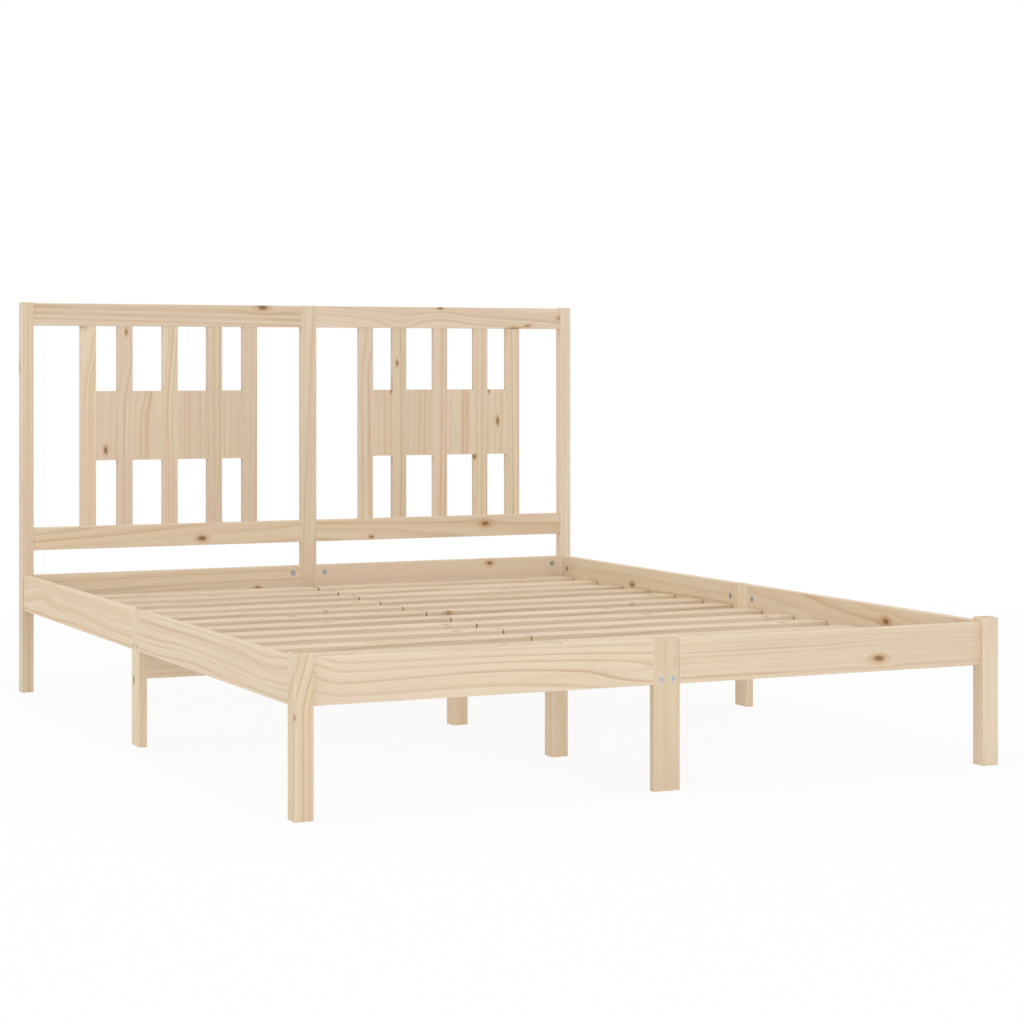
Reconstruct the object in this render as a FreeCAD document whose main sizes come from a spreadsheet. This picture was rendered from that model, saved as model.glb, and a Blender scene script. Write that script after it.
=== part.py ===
"""Pine bed frame for a 1500 x 2000 mm mattress, in millimetres.

The origin lies on the floor under the middle of the frame. +X points to the right-hand side
as seen from the foot, +Y to the head and +Z up. A board is a padded outline with eased edges,
and the hidden fasteners cut their own holes in every board that they pass through.
"""
import FreeCAD, Part
import os
import re
import Sketcher
from FreeCAD import Placement, Rotation, Vector

# Driving dimensions
SIZES = {
    # Whole frame
    "bed_length": 2060.0,
    "bed_width": 1565.0,
    "head_height": 1000.0,
    "foot_height": 310.0,
    # Posts
    "foot_post_side": 38.0,
    "head_post_side": 31.0,
    # Rails round the mattress
    "rail_bottom": 210.0,
    "rail_height": 90.0,
    "rail_thickness": 18.0,
    "side_rail_setback": 5.0,
    "foot_rail_setback": 13.0,
    # Board legs between the half rails
    "leg_board_width": 58.0,
    # Headboard
    "head_top_drop": 2.0,
    "head_rail_height": 58.0,
    "head_rail_thickness": 22.0,
    "lower_rail_bottom": 363.0,
    "stile_width": 42.0,
    "head_slat_width": 40.0,
    "head_slat_thickness": 18.0,
    "outer_gap": 58.0,
    "inner_gap": 82.0,
    "band_bottom": 591.0,
    "band_height": 180.0,
    # Supports under the bed slats
    "ledger_width": 30.0,
    "ledger_height": 20.0,
    "ledger_gap": 1.0,
    "batten_width": 60.0,
    "beam_height": 60.0,
    "beam_thickness": 18.0,
    "centre_leg_side": 38.0,
    "centre_leg_offset": 522.0,
    # Bed slats
    "bed_slat_width": 60.0,
    "bed_slat_thickness": 15.0,
    "bed_slat_end_gap": 2.0,
    "first_slat_gap": 15.0,
    # Eased edges
    "board_round": 2.0,
    "fine_round": 1.0,
    # Fits
    "fastener_clearance": 0.1,
    "cut_overrun": 1.0,
    # Dowels
    "dowel_diameter": 8.0,
    "dowel_length": 30.0,
    "rail_dowel_rise": 24.0,
    "head_dowel_spacing": 28.0,
    "beam_dowel_spacing": 30.0,
    # Leg bolts and their barrel nuts
    "bolt_diameter": 6.0,
    "bolt_head_diameter": 12.0,
    "bolt_head_height": 3.0,
    "bolt_head_recess": 0.5,
    "bolt_spacing": 26.0,
    "socket_radius": 2.3,
    "socket_depth": 2.0,
    "side_bolt_length": 40.0,
    "end_bolt_length": 55.0,
    "barrel_nut_diameter": 10.0,
    "barrel_nut_length": 14.0,
    "end_nut_inset": 30.0,
    # Cam locks at the rail ends
    "cam_diameter": 15.0,
    "cam_height": 13.5,
    "cam_inset": 24.0,
    "cam_bolt_diameter": 6.0,
    "cam_bolt_bury": 12.0,
    "rail_cam_rise": 56.0,
    "end_joint_rise": 14.0,
    "cam_slot_length": 9.0,
    # Countersunk screws
    "screw_diameter": 4.0,
    "screw_head_diameter": 8.0,
    "screw_slot_length": 4.4,
    "slot_width": 1.2,
    "slot_depth": 1.0,
    "ledger_screw_length": 45.0,
    "slat_screw_length": 30.0,
    "support_screw_length": 50.0,
    "batten_screw_inset": 8.0,
    "leg_screw_spacing": 18.0,
    "beam_screw_spacing": 30.0,
}

# Counts
BED_SLATS_PER_SIDE = 14
SLATS_PER_LEDGER_SCREW = 2
HEXAGON_SIDES = 6

# Shares
tiny_share = 1e-6

doc = FreeCAD.newDocument("bed_frame")
sheet = doc.addObject("Spreadsheet::Sheet", "Sizes")
for row, (alias, size) in enumerate(SIZES.items(), start=1):
    sheet.set(f"A{row}", alias)
    sheet.set(f"B{row}", str(size))
    sheet.setAlias(f"B{row}", alias)
doc.recompute()


# Expressions: every lower-case word in one is the name of a size in the sheet
def sheet_words(expression):
    """The expression with each size's name pointing at its cell in the sheet."""
    return re.sub(r"\b([a-z]\w+)", r"Sizes.\1", expression)


def value(expression):
    """The number that an expression gives with the sheet's sizes."""
    return float(sheet.evalExpression(sheet_words(expression)))


def bind(thing, **expressions):
    """Ties properties to expressions. A double underscore stands for a full stop."""
    for name, expression in expressions.items():
        thing.setExpression(name.replace("__", "."), sheet_words(expression))


def signed(sign, expression):
    """The place itself on the positive side, and its mirror image on the negative side."""
    return expression if sign > 0 else f"(0 - {expression})"


def between(low, high):
    """Middle and length of the stretch between two places, the lower one first."""
    return f"(({low} + {high}) / 2)", f"({high} - {low})"


def mirrored(sign, inner, outer):
    """Middle and length of a stretch beside the centre plane, on the side that sign gives."""
    middle, length = between(inner, outer)
    return signed(sign, middle), length


# Planes across the bed, distances from the centre plane
HALF_WIDTH = "(bed_width / 2)"
FOOT_POST_INNER = f"({HALF_WIDTH} - foot_post_side)"
FOOT_POST_MIDDLE = f"({HALF_WIDTH} - foot_post_side / 2)"
HEAD_POST_INNER = f"({HALF_WIDTH} - head_post_side)"
HEAD_POST_MIDDLE = f"({HALF_WIDTH} - head_post_side / 2)"
SIDE_FACE = f"({HALF_WIDTH} - side_rail_setback)"
SIDE_MIDDLE = f"({SIDE_FACE} - rail_thickness / 2)"
SIDE_INNER = f"({SIDE_FACE} - rail_thickness)"
LEDGER_MIDDLE = f"({SIDE_INNER} - ledger_width / 2)"
LEDGER_INNER = f"({SIDE_INNER} - ledger_width)"
LEG_EDGE = "(leg_board_width / 2)"
STILE_EDGE = "(stile_width / 2)"
BATTEN_SCREW_X = "(batten_width / 2 - batten_screw_inset)"
PANEL_MIDDLE = f"(({HEAD_POST_INNER} + {STILE_EDGE}) / 2)"

# Planes along the bed, from the foot to the head
HALF_LENGTH = "(bed_length / 2)"
FOOT_POST_Y = f"(foot_post_side / 2 - {HALF_LENGTH})"
FOOT_POST_BACK = f"(foot_post_side - {HALF_LENGTH})"
FOOT_FACE = f"(foot_rail_setback - {HALF_LENGTH})"
FOOT_MIDDLE = f"({FOOT_FACE} + rail_thickness / 2)"
FOOT_INNER = f"({FOOT_FACE} + rail_thickness)"
HEAD_POST_FRONT = f"({HALF_LENGTH} - head_post_side)"
SIDE_LEG_Y = f"(({FOOT_POST_BACK} + {HEAD_POST_FRONT}) / 2)"
SIDE_LEG_FRONT = f"({SIDE_LEG_Y} - {LEG_EDGE})"
SIDE_LEG_BACK = f"({SIDE_LEG_Y} + {LEG_EDGE})"
BEAM_MIDDLE = f"({SIDE_LEG_FRONT} + beam_thickness / 2)"
BEAM_BACK = f"({SIDE_LEG_FRONT} + beam_thickness)"
CENTRE_LEG_YS = {
    "foot": f"({SIDE_LEG_Y} - centre_leg_offset)",
    "middle": f"({BEAM_BACK} + centre_leg_side / 2)",
    "head": f"({SIDE_LEG_Y} + centre_leg_offset)",
}
HEAD_MIDDLE = f"({HALF_LENGTH} - head_post_side / 2)"
HEAD_FRONT = f"({HEAD_MIDDLE} - head_rail_thickness / 2)"
HEAD_BACK = f"({HEAD_MIDDLE} + head_rail_thickness / 2)"
END_RAIL_FRONT = f"({HEAD_MIDDLE} - rail_thickness / 2)"

# Levels above the floor
RAIL_TOP = "(rail_bottom + rail_height)"
RAIL_LEVEL = "(rail_bottom + rail_height / 2)"
SUPPORT_LEVEL = "(rail_bottom + ledger_height / 2)"
SUPPORT_TOP = "(rail_bottom + ledger_height)"
SLAT_LEVEL = f"({SUPPORT_TOP} + bed_slat_thickness / 2)"
SLAT_TOP = f"({SUPPORT_TOP} + bed_slat_thickness)"
BEAM_LEVEL = "(rail_bottom - beam_height / 2)"
HEAD_RAIL_TOP = "(head_height - head_top_drop)"
TOP_RAIL_LEVEL = f"({HEAD_RAIL_TOP} - head_rail_height / 2)"
TOP_RAIL_BOTTOM = f"({HEAD_RAIL_TOP} - head_rail_height)"
LOWER_RAIL_LEVEL = "(lower_rail_bottom + head_rail_height / 2)"
LOWER_RAIL_TOP = "(lower_rail_bottom + head_rail_height)"
BAND_LEVEL = "(band_bottom + band_height / 2)"
HEAD_SLAT_LEVEL, HEAD_SLAT_LENGTH = between(LOWER_RAIL_TOP, TOP_RAIL_BOTTOM)

SIDES = (("left", -1), ("right", 1))
PAIR = (-1, 1)

# Bed slats: equal steps between the foot rail and the head end rail
SLAT_SPAN = f"({END_RAIL_FRONT} - {FOOT_INNER} - 2 * first_slat_gap - bed_slat_width)"
SLAT_STEP = f"({SLAT_SPAN} / {BED_SLATS_PER_SIDE - 1})"
FIRST_SLAT_Y = f"({FOOT_INNER} + first_slat_gap + bed_slat_width / 2)"


# Boards
PLANES = {"x": "YZ_Plane", "y": "XZ_Plane", "z": "XY_Plane"}
AXES = {"x": Vector(1, 0, 0), "y": Vector(0, 1, 0), "z": Vector(0, 0, 1)}
boards = {}


def rectangle(body, role, across, up):
    """A rectangle in one of the body's own planes, centred on the body's origin."""
    sketch = body.newObject("Sketcher::SketchObject", body.Name + "_outline")
    plane = [feature for feature in body.Origin.OriginFeatures if feature.Role == role][0]
    sketch.AttachmentSupport = (plane, [""])
    sketch.MapMode = "FlatFace"
    x, y = value(across) / 2, value(up) / 2
    corners = [Vector(-x, -y, 0), Vector(x, -y, 0), Vector(x, y, 0), Vector(-x, y, 0)]
    for start, end in zip(corners, corners[1:] + corners[:1]):
        sketch.addGeometry(Part.LineSegment(start, end), False)
    for side in range(len(corners)):
        following = (side + 1) % len(corners)
        sketch.addConstraint(Sketcher.Constraint("Coincident", side, 2, following, 1))
        level = "Vertical" if side % 2 else "Horizontal"
        sketch.addConstraint(Sketcher.Constraint(level, side))
    sketch.addConstraint(Sketcher.Constraint("Symmetric", 0, 1, 1, 2, -1, 1))
    for side, length in ((0, across), (1, up)):
        limit = sketch.addConstraint(Sketcher.Constraint("Distance", side, value(length)))
        sketch.setExpression(f"Constraints[{limit}]", sheet_words(length))
    return sketch


def eased_edges(shape, axis, with_top):
    """Names of the edges that run along the axis, and of the top face's edges if wanted."""
    top = shape.BoundBox.ZMax
    reach = shape.BoundBox.DiagonalLength
    names = []
    for number, edge in enumerate(shape.Edges, start=1):
        run = edge.Vertexes[1].Point - edge.Vertexes[0].Point
        lengthwise = abs(run.dot(axis)) > edge.Length * (1 - tiny_share)
        at_top = abs(edge.BoundBox.ZMin - top) < reach * tiny_share
        if lengthwise or (with_top and at_top):
            names.append(f"Edge{number}")
    return names


def board(name, grain, x, y, z, easing, with_top=False):
    """A planed board. Each of x, y and z is its middle and its length in that direction.

    The outline across the grain is padded along it, both ways from the middle.
    """
    body = doc.addObject("PartDesign::Body", name + "_blank")
    sizes = {"x": x[1], "y": y[1], "z": z[1]}
    across, up = [sizes[axis] for axis in "xyz" if axis != grain]
    pad = body.newObject("PartDesign::Pad", name + "_pad")
    pad.Profile = rectangle(body, PLANES[grain], across, up)
    pad.SideType = "Symmetric"
    bind(pad, Length=sizes[grain])
    doc.recompute()
    fillet = body.newObject("PartDesign::Fillet", name + "_easing")
    fillet.Base = (pad, eased_edges(pad.Shape, AXES[grain], with_top))
    bind(fillet, Radius=easing)
    body.Tip = fillet
    bind(body, Placement__Base__x=x[0], Placement__Base__y=y[0], Placement__Base__z=z[0])
    boards[name] = body
    return body


def standing(height):
    """Middle and length of a piece that stands on the floor."""
    return f"({height} / 2)", height


def posts_and_legs():
    """Square corner posts, board legs between the half rails, and square centre legs."""
    for side, sign in SIDES:
        foot_x = (signed(sign, FOOT_POST_MIDDLE), "foot_post_side")
        foot_y = (FOOT_POST_Y, "foot_post_side")
        board(f"foot_post_{side}", "z", foot_x, foot_y, standing("foot_height"), "board_round", True)
        head_x = (signed(sign, HEAD_POST_MIDDLE), "head_post_side")
        head_y = (HEAD_MIDDLE, "head_post_side")
        board(f"head_post_{side}", "z", head_x, head_y, standing("head_height"), "board_round", True)
        leg_x = (signed(sign, SIDE_MIDDLE), "rail_thickness")
        leg_y = (SIDE_LEG_Y, "leg_board_width")
        board(f"side_leg_{side}", "z", leg_x, leg_y, standing(RAIL_TOP), "fine_round")
    foot_y = (FOOT_MIDDLE, "rail_thickness")
    board("foot_centre_leg", "z", ("0", "leg_board_width"), foot_y, standing(RAIL_TOP), "fine_round")
    for place, y in CENTRE_LEG_YS.items():
        leg_x = ("0", "centre_leg_side")
        leg_y = (y, "centre_leg_side")
        board(f"centre_leg_{place}", "z", leg_x, leg_y, standing("rail_bottom"), "board_round")


def bed_rails():
    """Half rails: two at the foot, two at the head and two along each side."""
    level = (RAIL_LEVEL, "rail_height")
    for side, sign in SIDES:
        x = mirrored(sign, LEG_EDGE, FOOT_POST_INNER)
        board(f"foot_rail_{side}", "x", x, (FOOT_MIDDLE, "rail_thickness"), level, "board_round")
        x = mirrored(sign, STILE_EDGE, HEAD_POST_INNER)
        board(f"head_end_rail_{side}", "x", x, (HEAD_MIDDLE, "rail_thickness"), level, "board_round")
        x = (signed(sign, SIDE_MIDDLE), "rail_thickness")
        foot_half = between(FOOT_POST_BACK, SIDE_LEG_FRONT)
        board(f"side_rail_{side}_foot", "y", x, foot_half, level, "board_round")
        head_half = between(SIDE_LEG_BACK, HEAD_POST_FRONT)
        board(f"side_rail_{side}_head", "y", x, head_half, level, "board_round")


def headboard():
    """Stile, rails, slats and the band of short boards between the slats."""
    rail_y = (HEAD_MIDDLE, "head_rail_thickness")
    slat_y = (HEAD_MIDDLE, "head_slat_thickness")
    stile_x = ("0", "stile_width")
    board("head_centre_stile", "z", stile_x, rail_y, standing(HEAD_RAIL_TOP), "fine_round")
    near = "(head_slat_width + inner_gap)"
    far = f"({near} + head_slat_width + outer_gap)"
    slat_places = (signed(-1, far), signed(-1, near), "0", near, far)
    inner_middle = f"({near} / 2)"
    outer_middle = f"(({near} + {far}) / 2)"
    fillers = (
        (signed(-1, outer_middle), "outer_gap"),
        (signed(-1, inner_middle), "inner_gap"),
        (inner_middle, "inner_gap"),
        (outer_middle, "outer_gap"),
    )
    for side, sign in SIDES:
        rail_x = mirrored(sign, STILE_EDGE, HEAD_POST_INNER)
        for place, level in (("top", TOP_RAIL_LEVEL), ("lower", LOWER_RAIL_LEVEL)):
            rail_z = (level, "head_rail_height")
            board(f"head_{place}_rail_{side}", "x", rail_x, rail_y, rail_z, "board_round")
        middle = signed(sign, PANEL_MIDDLE)
        for number, offset in enumerate(slat_places, start=1):
            slat_x = (f"({middle} + {offset})", "head_slat_width")
            slat_z = (HEAD_SLAT_LEVEL, HEAD_SLAT_LENGTH)
            board(f"head_slat_{side}_{number}", "z", slat_x, slat_y, slat_z, "fine_round")
        for number, (offset, width) in enumerate(fillers, start=1):
            filler_x = (f"({middle} + {offset})", width)
            filler_z = (BAND_LEVEL, "band_height")
            board(f"head_filler_{side}_{number}", "z", filler_x, slat_y, filler_z, "fine_round")


def supports():
    """Ledgers on the side rails, the cross beam and the two halves of the centre batten."""
    level = (SUPPORT_LEVEL, "ledger_height")
    for side, sign in SIDES:
        x = (signed(sign, LEDGER_MIDDLE), "ledger_width")
        foot_half = between(FOOT_POST_BACK, f"({SIDE_LEG_Y} - ledger_gap / 2)")
        board(f"ledger_{side}_foot", "y", x, foot_half, level, "board_round")
        head_half = between(f"({SIDE_LEG_Y} + ledger_gap / 2)", HEAD_POST_FRONT)
        board(f"ledger_{side}_head", "y", x, head_half, level, "board_round")
    beam_x = ("0", f"(2 * {SIDE_INNER})")
    beam_z = (BEAM_LEVEL, "beam_height")
    board("cross_beam", "x", beam_x, (BEAM_MIDDLE, "beam_thickness"), beam_z, "board_round")
    batten_x = ("0", "batten_width")
    board("centre_batten_foot", "y", batten_x, between(FOOT_INNER, BEAM_BACK), level, "board_round")
    board("centre_batten_head", "y", batten_x, between(BEAM_BACK, HEAD_FRONT), level, "board_round")


# Fasteners: each master lies on its own +Z axis, the way it is driven
def cylinder(name, radius, height, base="0"):
    """A cylinder round +Z that starts at the height base."""
    part = doc.addObject("Part::Cylinder", name)
    bind(part, Radius=radius, Height=height, Placement__Base__z=base)
    return part


def cone(name, radius_low, radius_high, height, base="0"):
    """A cone round +Z that starts at the height base."""
    part = doc.addObject("Part::Cone", name)
    bind(part, Radius1=radius_low, Radius2=radius_high, Height=height, Placement__Base__z=base)
    return part


def fused(name, *parts):
    """All the parts as one shape."""
    fuse = doc.addObject("Part::MultiFuse", name)
    fuse.Shapes = list(parts)
    return fuse


def less(name, base, tool):
    """The base with the tool's shape cut away."""
    cut = doc.addObject("Part::Cut", name)
    cut.Base = base
    cut.Tool = tool
    return cut


def cross_slot(name, length):
    """Two crossed bars for a screwdriver's tip, sunk in a face at the origin."""
    bars = []
    for bar_name, x_size, y_size in (("a", length, "slot_width"), ("b", "slot_width", length)):
        bar = doc.addObject("Part::Box", f"{name}_{bar_name}")
        bind(bar, Length=x_size, Width=y_size, Height="slot_depth")
        bind(bar, Placement__Base__x=f"0 - {x_size} / 2", Placement__Base__y=f"0 - {y_size} / 2")
        bars.append(bar)
    return fused(name, *bars)


def crosswise(part):
    """Turns a cylinder from +Z to +X."""
    part.Placement.Rotation = Rotation(AXES["z"], AXES["x"])
    return part


def dowel():
    start = "0 - dowel_length / 2"
    return cylinder("dowel_master", "dowel_diameter / 2", "dowel_length", start)


def dowel_hole():
    radius = "dowel_diameter / 2 + fastener_clearance"
    length = "dowel_length + 2 * fastener_clearance"
    return cylinder("dowel_hole", radius, length, f"0 - ({length}) / 2")


def bolt(name, length):
    """A flat-headed bolt with a hexagon socket. Its length counts from under the head."""
    head = cylinder(name + "_head", "bolt_head_diameter / 2", "bolt_head_height")
    shank = cylinder(name + "_shank", "bolt_diameter / 2", length, "bolt_head_height")
    socket = doc.addObject("Part::Prism", name + "_socket")
    socket.Polygon = HEXAGON_SIDES
    bind(socket, Circumradius="socket_radius", Height="socket_depth")
    return less(name + "_master", fused(name + "_solid", head, shank), socket)


def bolt_hole(name, length):
    """Counterbore from outside the leg down to the head's seat, and the shank's bore."""
    head_radius = "bolt_head_diameter / 2 + fastener_clearance"
    above = "bolt_head_recess + cut_overrun"
    head = cylinder(name + "_counterbore", head_radius, f"{above} + bolt_head_height", f"0 - ({above})")
    shank_radius = "bolt_diameter / 2 + fastener_clearance"
    reach = f"{length} + fastener_clearance"
    return fused(name, head, cylinder(name + "_bore", shank_radius, reach, "bolt_head_height"))


def barrel_nut():
    """A short steel bar with the bolt's hole across it, along +X."""
    start = "0 - barrel_nut_length / 2"
    bar = cylinder("barrel_nut_bar", "barrel_nut_diameter / 2", "barrel_nut_length", start)
    bore_radius = "bolt_diameter / 2 + fastener_clearance"
    bore = crosswise(cylinder("barrel_nut_bore", bore_radius, "barrel_nut_diameter", "0"))
    bind(bore, Placement__Base__x="0 - barrel_nut_diameter / 2")
    return less("barrel_nut_master", bar, bore)


def barrel_nut_hole():
    """From under the nut up to the support's top face."""
    radius = "barrel_nut_diameter / 2 + fastener_clearance"
    height = "barrel_nut_length / 2 + ledger_height / 2"
    return cylinder("barrel_nut_hole", radius, height, "0 - barrel_nut_length / 2")


def cam_lock():
    """A disc let into a rail's inner face, with the cam bolt's way in along +X."""
    disc = cylinder("cam_disc", "cam_diameter / 2", "cam_height")
    way_in = crosswise(cylinder("cam_way_in", "cam_bolt_diameter / 2 + fastener_clearance", "cam_diameter"))
    bind(way_in, Placement__Base__x="0 - fastener_clearance", Placement__Base__z="rail_thickness / 2")
    return less("cam_master", disc, fused("cam_cuts", way_in, cross_slot("cam_slot", "cam_slot_length")))


def cam_hole():
    radius = "cam_diameter / 2 + fastener_clearance"
    return cylinder("cam_hole", radius, "cam_height + cut_overrun", "0 - cut_overrun")


def cam_bolt():
    """From its buried end in the post or leg to the middle of the cam."""
    return cylinder("cam_bolt_master", "cam_bolt_diameter / 2", "cam_bolt_bury + cam_inset")


def cam_bolt_hole():
    radius = "cam_bolt_diameter / 2 + fastener_clearance"
    length = "cam_bolt_bury + cam_inset + 2 * fastener_clearance"
    return cylinder("cam_bolt_hole", radius, length, "0 - fastener_clearance")


def screw_outline(name, length, growth):
    """Countersunk head, shank and point, all grown sideways and at the point by the growth."""
    head_radius = f"(screw_head_diameter / 2 + {growth})"
    shank_radius = f"(screw_diameter / 2 + {growth})"
    head_height = "((screw_head_diameter - screw_diameter) / 2)"
    point = "screw_diameter"
    head = cone(name + "_head", head_radius, shank_radius, head_height)
    shank_length = f"{length} - {head_height} - {point} + {growth}"
    shank = cylinder(name + "_shank", shank_radius, shank_length, head_height)
    tip = cone(name + "_tip", shank_radius, "0", point, f"{length} - {point} + {growth}")
    return fused(name, head, shank, tip)


def screw(name, length):
    outline = screw_outline(name + "_solid", length, "0")
    return less(name + "_master", outline, cross_slot(name + "_slot", "screw_slot_length"))


def at(x, y, z, drive, across=None):
    """A placement whose own +Z points along drive and own +X along across."""
    origin = Vector(value(x), value(y), value(z))
    drive = Vector(*drive)
    if across is None:
        return Placement(origin, Rotation(AXES["z"], drive))
    return Placement(origin, Rotation(Vector(*across), Vector(0, 0, 0), drive, "ZXY"))


UP, DOWN = (0, 0, 1), (0, 0, -1)


def dowel_places():
    """Rail ends, headboard rails, head slats and the ends of the cross beam."""
    places = []
    side_level = "rail_bottom + rail_dowel_rise"
    end_level = f"{side_level} + end_joint_rise"
    for _, sign in SIDES:
        for y in (FOOT_POST_BACK, SIDE_LEG_FRONT, SIDE_LEG_BACK, HEAD_POST_FRONT):
            places.append(at(signed(sign, SIDE_MIDDLE), y, side_level, (0, 1, 0)))
        for x in (FOOT_POST_INNER, LEG_EDGE):
            places.append(at(signed(sign, x), FOOT_MIDDLE, end_level, (1, 0, 0)))
        for x in (HEAD_POST_INNER, STILE_EDGE):
            places.append(at(signed(sign, x), HEAD_MIDDLE, end_level, (1, 0, 0)))
            for level in (TOP_RAIL_LEVEL, LOWER_RAIL_LEVEL):
                for half in PAIR:
                    z = f"{level} + {half} * head_dowel_spacing / 2"
                    places.append(at(signed(sign, x), HEAD_MIDDLE, z, (1, 0, 0)))
        for half in PAIR:
            z = f"{BEAM_LEVEL} + {half} * beam_dowel_spacing / 2"
            places.append(at(signed(sign, SIDE_INNER), BEAM_MIDDLE, z, (1, 0, 0)))
    for name, body in boards.items():
        if name.startswith("head_slat"):
            for z in (LOWER_RAIL_TOP, TOP_RAIL_BOTTOM):
                place = at("0", HEAD_MIDDLE, z, UP)
                place.Base.x = body.Placement.Base.x
                places.append(place)
    return places


def side_bolt_places():
    places = []
    for _, sign in SIDES:
        x = signed(sign, f"({SIDE_FACE} - bolt_head_recess)")
        for half in PAIR:
            y = f"{SIDE_LEG_Y} + {half} * bolt_spacing / 2"
            places.append(at(x, y, SUPPORT_LEVEL, (-sign, 0, 0)))
    return places


def end_bolt_places():
    places = []
    for half in PAIR:
        x = f"{half} * bolt_spacing / 2"
        places.append(at(x, f"{FOOT_FACE} + bolt_head_recess", SUPPORT_LEVEL, (0, 1, 0)))
        places.append(at(x, f"{HEAD_BACK} - bolt_head_recess", SUPPORT_LEVEL, (0, -1, 0)))
    return places


def barrel_nut_places():
    """One nut on each bolt: in the ledgers' ends and in the ends of the centre batten."""
    places = []
    for half in PAIR:
        apart = f"{half} * bolt_spacing / 2"
        for _, sign in SIDES:
            x = signed(sign, LEDGER_MIDDLE)
            places.append(at(x, f"{SIDE_LEG_Y} + {apart}", SUPPORT_LEVEL, UP, (1, 0, 0)))
        for y in (f"{FOOT_INNER} + end_nut_inset", f"{HEAD_FRONT} - end_nut_inset"):
            places.append(at(apart, y, SUPPORT_LEVEL, UP, (0, 1, 0)))
    return places


def rail_ends():
    """Every end of a bed rail: its place, the way to the post or leg, and the cam's face.

    The face is the x or y of the rail's inner face, and the way that the cam goes in.
    """
    side_level = "rail_bottom + rail_cam_rise"
    end_level = f"{side_level} + end_joint_rise"
    ends = []
    for _, sign in SIDES:
        ways = {FOOT_POST_BACK: -1, SIDE_LEG_FRONT: 1, SIDE_LEG_BACK: -1, HEAD_POST_FRONT: 1}
        for y, way in ways.items():
            face = (signed(sign, SIDE_INNER), None, (sign, 0, 0))
            ends.append((signed(sign, SIDE_MIDDLE), y, side_level, (0, way, 0), face))
        for x, way in ((FOOT_POST_INNER, sign), (LEG_EDGE, -sign)):
            face = (None, FOOT_INNER, (0, -1, 0))
            ends.append((signed(sign, x), FOOT_MIDDLE, end_level, (way, 0, 0), face))
        for x, way in ((HEAD_POST_INNER, sign), (STILE_EDGE, -sign)):
            face = (None, END_RAIL_FRONT, (0, 1, 0))
            ends.append((signed(sign, x), HEAD_MIDDLE, end_level, (way, 0, 0), face))
    return ends


def cam_places():
    """A cam lies cam_inset back from the rail's end, level with the rail's inner face."""
    places = []
    for x, y, level, way, (face_x, face_y, drive) in rail_ends():
        cam_x = face_x or f"{x} - {way[0]} * cam_inset"
        cam_y = face_y or f"{y} - {way[1]} * cam_inset"
        places.append(at(cam_x, cam_y, level, drive, way))
    return places


def cam_bolt_places():
    places = []
    for x, y, level, way, _ in rail_ends():
        bolt_x = f"{x} + {way[0]} * cam_bolt_bury"
        bolt_y = f"{y} + {way[1]} * cam_bolt_bury"
        places.append(at(bolt_x, bolt_y, level, (-way[0], -way[1], 0)))
    return places


def slat_y(steps):
    """Middle of the bed slat that many steps from the first."""
    return f"({FIRST_SLAT_Y} + {steps} * {SLAT_STEP})"


def ledger_screw_places():
    """In the gaps between bed slats, except behind the side legs."""
    places = []
    for step in range(0, BED_SLATS_PER_SIDE - 1, SLATS_PER_LEDGER_SCREW):
        y = f"({slat_y(step)} + {SLAT_STEP} / 2)"
        if value(SIDE_LEG_FRONT) < value(y) < value(SIDE_LEG_BACK):
            continue
        for _, sign in SIDES:
            places.append(at(signed(sign, LEDGER_INNER), y, SUPPORT_LEVEL, (sign, 0, 0)))
    return places


def slat_screw_places(steps=range(BED_SLATS_PER_SIDE)):
    """One screw at each end of each bed slat, into the ledger and into the centre batten."""
    places = []
    for step in steps:
        for _, sign in SIDES:
            for x in (LEDGER_MIDDLE, BATTEN_SCREW_X):
                places.append(at(signed(sign, x), slat_y(step), SLAT_TOP, DOWN))
    return places


def support_screw_places():
    """Battens down to the beam and the centre legs, and the beam to the middle leg."""
    places = []
    for half in PAIR:
        apart = f"{half} * leg_screw_spacing / 2"
        places.append(at(f"{half} * beam_screw_spacing / 2", BEAM_MIDDLE, SUPPORT_TOP, DOWN))
        for leg_y in CENTRE_LEG_YS.values():
            places.append(at("0", f"{leg_y} + {apart}", SUPPORT_TOP, DOWN))
        low = f"{BEAM_LEVEL} - beam_dowel_spacing / 2"
        places.append(at(apart, SIDE_LEG_FRONT, low, (0, 1, 0)))
    return places


def copies(master, places):
    """The master's shape once at each place."""
    shapes = []
    for place in places:
        shape = master.Shape.copy()
        shape.Placement = place.multiply(shape.Placement)
        shapes.append(shape)
    return shapes


def group(name, shapes):
    """Identical pieces that share one node, as separate solids."""
    feature = doc.addObject("Part::Feature", name)
    feature.Shape = Part.makeCompound(shapes)
    feature.Label = name
    return feature


def drilled(name, body, holes):
    """The board with every hole that reaches into it."""
    box = body.Shape.BoundBox
    touching = [hole for hole in holes if box.intersect(hole.BoundBox)]
    least = box.DiagonalLength * tiny_share
    reaching = [hole for hole in touching if body.Shape.common(hole).Volume > least]
    if not reaching:
        body.Label = name
        return body
    board_cut = less(name + "_drilled", body, group(name + "_holes", reaching))
    board_cut.Label = name
    return board_cut


def bed_slats(side, sign, holes):
    """One drilled slat at the first place, repeated up to the head."""
    name = f"bed_slats_{side}"
    x = mirrored(sign, "bed_slat_end_gap", f"({SIDE_INNER} - bed_slat_end_gap)")
    z = (SLAT_LEVEL, "bed_slat_thickness")
    blank = board(name, "x", x, (FIRST_SLAT_Y, "bed_slat_width"), z, "board_round")
    del boards[name]
    doc.recompute()
    first = drilled(name + "_first", blank, holes)
    doc.recompute()
    steps = [Placement(Vector(0, step * value(SLAT_STEP), 0), Rotation()) for step in range(BED_SLATS_PER_SIDE)]
    return group(name, copies(first, steps))


posts_and_legs()
bed_rails()
headboard()
supports()
doc.recompute()

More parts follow.
